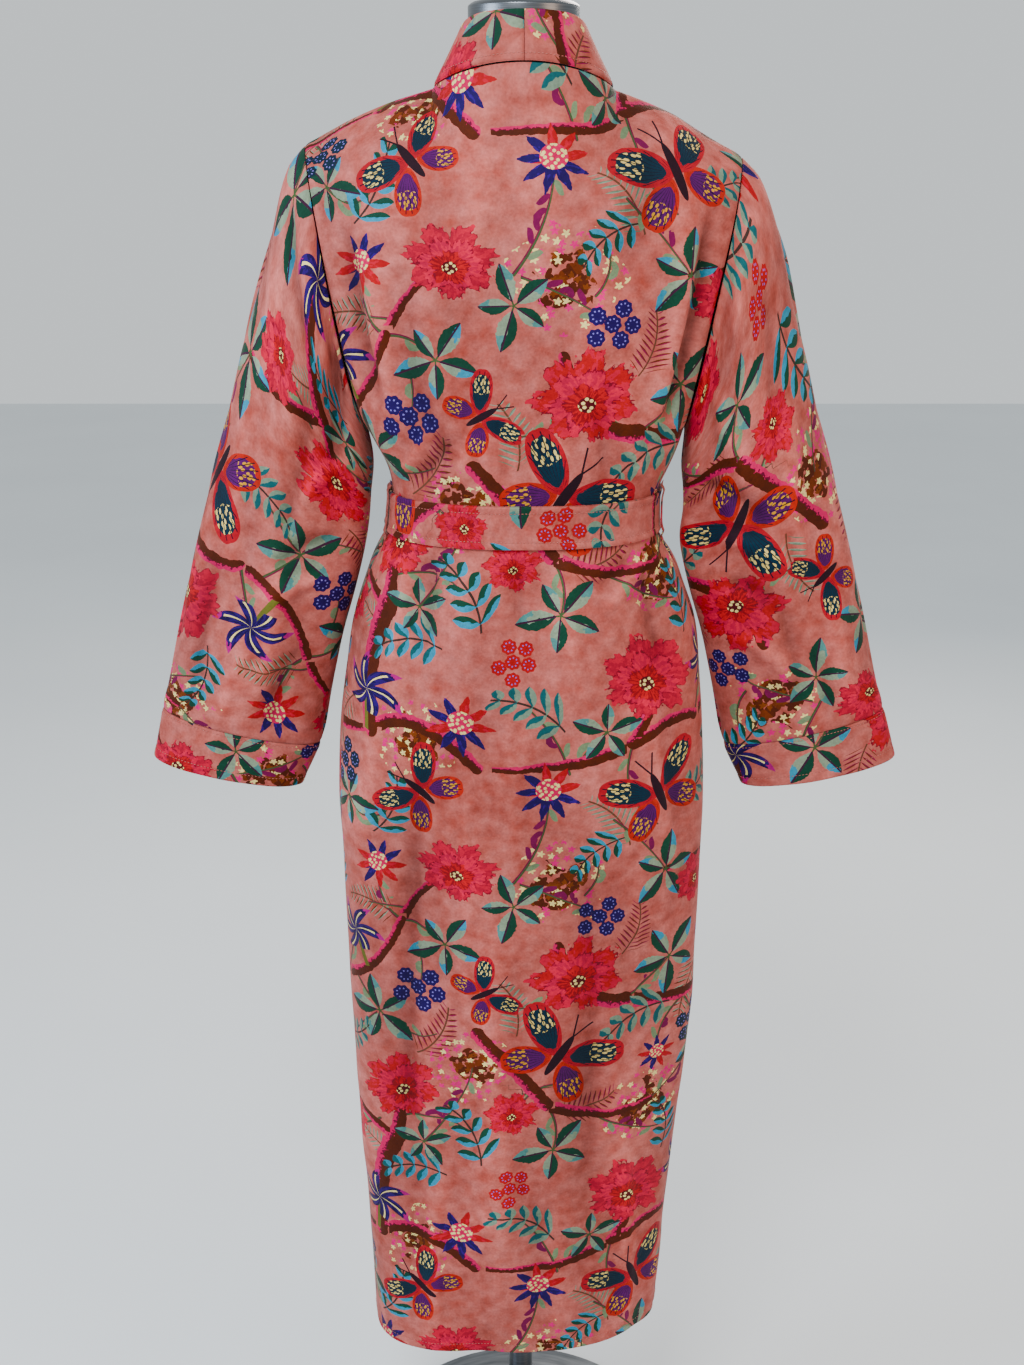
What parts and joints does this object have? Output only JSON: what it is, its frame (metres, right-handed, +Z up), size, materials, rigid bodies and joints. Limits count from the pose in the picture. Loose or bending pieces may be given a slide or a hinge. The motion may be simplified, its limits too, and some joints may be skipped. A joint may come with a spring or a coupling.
{
  "type": "kimono robe on dress form",
  "caption": "Long wrap robe with wide sleeves, standing neckband and tie belt, worn by a limbless dress form on a pole and round base.",
  "frame": {"origin": "middle of the round base's flat underside, on the floor", "axes": "+Z up; -Y towards the robe's front; +X towards the wearer's left"},
  "size_m": [0.7498, 0.37, 1.6243],
  "materials": {
    "velvet": "printed cotton velvet with a short, crushed nap",
    "jersey": "stretched matte jersey",
    "gunmetal": "satin, dark plated steel"
  },
  "bodies": {
    "root": {"back": "velvet", "front_left": "velvet", "front_right": "velvet", "neckband_left": "velvet", "neckband_right": "velvet", "sleeve_left": "velvet", "sleeve_right": "velvet", "cuff_left": "velvet", "cuff_right": "velvet", "belt_waist": "velvet", "belt_knot": "velvet", "belt_tail_left": "velvet", "belt_tail_right": "velvet", "belt_loop_left": "velvet", "belt_loop_right": "velvet", "form_torso": "jersey", "form_neck_cap": "gunmetal", "form_pole": "gunmetal", "form_pole_collar": "gunmetal", "form_base": "gunmetal"}
  },
  "joints": []
}
